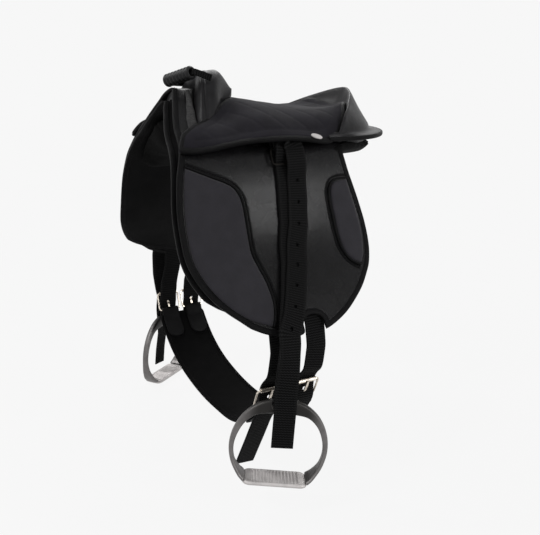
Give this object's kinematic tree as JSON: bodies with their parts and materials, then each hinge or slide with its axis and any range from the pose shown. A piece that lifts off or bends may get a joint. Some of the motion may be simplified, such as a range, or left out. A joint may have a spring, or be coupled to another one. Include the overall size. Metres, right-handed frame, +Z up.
{
  "type": "pony saddle",
  "caption": "Small pony saddle with quilted seat cover, rounded flaps with knee patches, grab handle, webbing stirrup straps with irons, and a buckled girth.",
  "frame": {"origin": "under the seat on the saddle's middle plane, in the space where the pony's back lies, above the girth's front edge", "axes": "+Z up, +X from the front arch to the cantle, near (left) side at -Y"},
  "size_m": [0.3252, 0.4585, 0.4998],
  "materials": {
    "smooth_leather": "smooth synthetic leather with a soft sheen",
    "matt_neoprene": "matt neoprene with a fine pebbled face",
    "quilted_cover": "suede-look fabric, quilted",
    "webbing": "woven polyester webbing",
    "panel_felt": "matt textured lining",
    "grip_rubber": "moulded rubber, satin",
    "tree_plastic": "moulded plastic",
    "nickel_steel": "nickel-plated steel wire",
    "cast_aluminium": "cast and tumbled",
    "foam": "open foam"
  },
  "bodies": {
    "saddle": {"pommel": "smooth_leather", "cantle": "smooth_leather", "seat_badge": "smooth_leather", "saddle_tree": "tree_plastic", "head_plate": "nickel_steel", "seat_pad": "foam", "seat_cover": "quilted_cover", "near_flap": "smooth_leather", "near_sweat_flap": "smooth_leather", "near_knee_patch": "matt_neoprene", "near_knee_piping": "smooth_leather", "near_rear_patch": "matt_neoprene", "near_rear_piping": "smooth_leather", "near_front_patch": "matt_neoprene", "near_panel": "panel_felt", "near_stirrup_bar": "nickel_steel", "far_flap": "smooth_leather", "far_sweat_flap": "smooth_leather", "far_knee_patch": "matt_neoprene", "far_knee_piping": "smooth_leather", "far_rear_patch": "matt_neoprene", "far_rear_piping": "smooth_leather", "far_front_patch": "matt_neoprene", "far_panel": "panel_felt", "far_stirrup_bar": "nickel_steel"},
    "near_leather": {"near_stirrup_strap": "webbing", "near_strap_buckle": "nickel_steel"},
    "near_leather_tongue": {"near_strap_tongue": "nickel_steel"},
    "near_iron": {"near_stirrup_iron": "cast_aluminium"},
    "far_leather": {"far_stirrup_strap": "webbing", "far_strap_buckle": "nickel_steel"},
    "far_leather_tongue": {"far_strap_tongue": "nickel_steel"},
    "far_iron": {"far_stirrup_iron": "cast_aluminium"},
    "girth": {"girth_band": "matt_neoprene", "near_front_billet": "webbing", "near_front_buckle": "nickel_steel", "near_front_tab": "smooth_leather", "near_rear_billet": "webbing", "near_rear_buckle": "nickel_steel", "near_rear_tab": "smooth_leather", "far_front_billet": "webbing", "far_front_buckle": "nickel_steel", "far_front_tab": "smooth_leather", "far_rear_billet": "webbing", "far_rear_buckle": "nickel_steel", "far_rear_tab": "smooth_leather"},
    "near_front_girth_tongue": {"near_front_tongue": "nickel_steel"},
    "near_front_girth_roller": {"near_front_roller": "nickel_steel"},
    "near_rear_girth_tongue": {"near_rear_tongue": "nickel_steel"},
    "near_rear_girth_roller": {"near_rear_roller": "nickel_steel"},
    "far_front_girth_tongue": {"far_front_tongue": "nickel_steel"},
    "far_front_girth_roller": {"far_front_roller": "nickel_steel"},
    "far_rear_girth_tongue": {"far_rear_tongue": "nickel_steel"},
    "far_rear_girth_roller": {"far_rear_roller": "nickel_steel"},
    "handle": {"handle_strap": "webbing", "handle_grip": "grip_rubber"}
  },
  "joints": [
    {"name": "near_leather_swing", "type": "hinge", "parent": "saddle", "child": "near_leather", "pos_m": [0.019, -0.08002, 0.07867], "axis": [-1, 0, 0], "range_deg": [0, 8]},
    {"name": "near_leather_tongue_lift", "type": "hinge", "parent": "near_leather", "child": "near_leather_tongue", "pos_m": [0.019, -0.09153, 0.0644], "axis": [-1, 0, 0], "range_deg": [0, 5]},
    {"name": "near_iron_swing", "type": "hinge", "parent": "near_leather", "child": "near_iron", "pos_m": [-0.03356, -0.19901, -0.202], "axis": [0.9013, -0.4203, -0.1045], "range_deg": [-30, 12]},
    {"name": "far_leather_swing", "type": "hinge", "parent": "saddle", "child": "far_leather", "pos_m": [0.019, 0.08002, 0.07867], "axis": [1, 0, 0], "range_deg": [0, 8]},
    {"name": "far_leather_tongue_lift", "type": "hinge", "parent": "far_leather", "child": "far_leather_tongue", "pos_m": [0.019, 0.09153, 0.0644], "axis": [1, 0, 0], "range_deg": [0, 5]},
    {"name": "far_iron_swing", "type": "hinge", "parent": "far_leather", "child": "far_iron", "pos_m": [-0.03641, 0.199, -0.238], "axis": [0.7869, 0.6148, -0.0523], "range_deg": [-40, 30]},
    {"name": "girth_swing", "type": "hinge", "parent": "saddle", "child": "girth", "pos_m": [-0.012, 0, 0.039], "axis": [0, 1, 0], "range_deg": [-3.5, 4]},
    {"name": "near_front_tongue_lift", "type": "hinge", "parent": "girth", "child": "near_front_girth_tongue", "pos_m": [-0.041, -0.16971, -0.21688], "axis": [1, 0, 0], "range_deg": [0, 10]},
    {"name": "near_front_roller_spin", "type": "hinge", "parent": "girth", "child": "near_front_girth_roller", "pos_m": [-0.041, -0.18029, -0.19312], "axis": [1, 0, 0], "continuous": true},
    {"name": "near_rear_tongue_lift", "type": "hinge", "parent": "girth", "child": "near_rear_girth_tongue", "pos_m": [0.006, -0.16971, -0.21688], "axis": [1, 0, 0], "range_deg": [0, 30]},
    {"name": "near_rear_roller_spin", "type": "hinge", "parent": "girth", "child": "near_rear_girth_roller", "pos_m": [0.006, -0.18029, -0.19312], "axis": [1, 0, 0], "continuous": true},
    {"name": "far_front_tongue_lift", "type": "hinge", "parent": "girth", "child": "far_front_girth_tongue", "pos_m": [-0.036, 0.16971, -0.21688], "axis": [-1, 0, 0], "range_deg": [0, 25]},
    {"name": "far_front_roller_spin", "type": "hinge", "parent": "girth", "child": "far_front_girth_roller", "pos_m": [-0.036, 0.18029, -0.19312], "axis": [1, 0, 0], "continuous": true},
    {"name": "far_rear_tongue_lift", "type": "hinge", "parent": "girth", "child": "far_rear_girth_tongue", "pos_m": [0.002, 0.16971, -0.21688], "axis": [-1, 0, 0], "range_deg": [0, 30]},
    {"name": "far_rear_roller_spin", "type": "hinge", "parent": "girth", "child": "far_rear_girth_roller", "pos_m": [0.002, 0.18029, -0.19312], "axis": [1, 0, 0], "continuous": true},
    {"name": "handle_lift", "type": "hinge", "parent": "saddle", "child": "handle", "pos_m": [-0.047, 0, 0.147], "axis": [0, 1, 0], "range_deg": [0, 85]}
  ]
}
